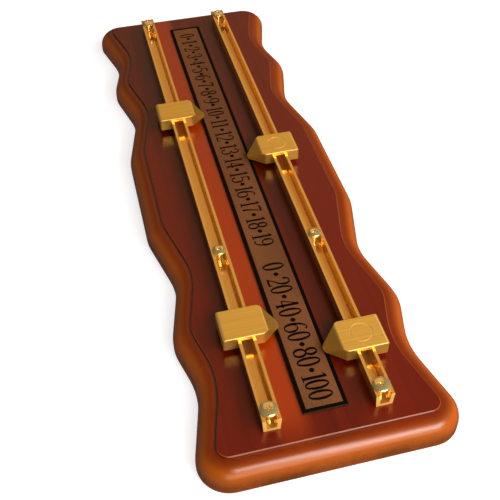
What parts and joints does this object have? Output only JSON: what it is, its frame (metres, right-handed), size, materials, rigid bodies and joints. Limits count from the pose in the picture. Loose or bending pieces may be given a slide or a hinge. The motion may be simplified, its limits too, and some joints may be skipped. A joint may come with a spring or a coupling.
{
  "type": "billiard scoreboard",
  "caption": "Wall scoreboard for billiards and snooker: scalloped wooden board, etched number plate, brass channel rails with sliding brass pointers, keyhole hangers on the back.",
  "frame": {"origin": "centre of the footprint, in the plane of the wall pads, which is the wall when the board hangs", "axes": "+X along the board in the reading direction of the numbers (0 to 100), +Y towards the tops of the numbers (up on the wall), +Z out of the board's face"},
  "size_m": [0.66, 0.208, 0.0434],
  "materials": {
    "stained_wood": "reddish mahogany stain under gloss lacquer",
    "adhesive_film": "clear double-sided film",
    "etched_plate": "bronzed, fine-brushed, with black enamel border and numbers",
    "rail_brass": "polished",
    "screw_brass": "pale electroplated brass, bright",
    "pointer_brass": "brushed across the rail, lacquered",
    "hanger_steel": "zinc plated",
    "pad_rubber": "matte"
  },
  "bodies": {
    "board": {"wooden_board": "stained_wood", "plate_adhesive_film": "adhesive_film", "number_plate": "etched_plate", "upper_rail": "rail_brass", "lower_rail": "rail_brass", "upper_rail_left_screw": "screw_brass", "upper_rail_divider_screw": "screw_brass", "upper_rail_right_screw": "screw_brass", "lower_rail_left_screw": "screw_brass", "lower_rail_divider_screw": "screw_brass", "lower_rail_right_screw": "screw_brass", "left_hanger": "hanger_steel", "right_hanger": "hanger_steel", "left_hanger_top_screw": "hanger_steel", "left_hanger_bottom_screw": "hanger_steel", "right_hanger_top_screw": "hanger_steel", "right_hanger_bottom_screw": "hanger_steel", "upper_left_wall_pad": "pad_rubber", "upper_right_wall_pad": "pad_rubber", "lower_left_wall_pad": "pad_rubber", "lower_right_wall_pad": "pad_rubber"},
    "upper_units_slider": {"upper_units_pointer": "pointer_brass"},
    "upper_twenties_slider": {"upper_twenties_pointer": "pointer_brass"},
    "lower_units_slider": {"lower_units_pointer": "pointer_brass"},
    "lower_twenties_slider": {"lower_twenties_pointer": "pointer_brass"}
  },
  "joints": [
    {"name": "upper_units_slide", "type": "slide", "parent": "board", "child": "upper_units_slider", "axis": [1, 0, 0], "range_m": [-0.2535, 0.1103]},
    {"name": "upper_twenties_slide", "type": "slide", "parent": "board", "child": "upper_twenties_slider", "axis": [1, 0, 0], "range_m": [-0.1, 0.0265]},
    {"name": "lower_units_slide", "type": "slide", "parent": "board", "child": "lower_units_slider", "axis": [1, 0, 0], "range_m": [-0.171, 0.1928]},
    {"name": "lower_twenties_slide", "type": "slide", "parent": "board", "child": "lower_twenties_slider", "axis": [1, 0, 0], "range_m": [-0.066, 0.0605]}
  ]
}
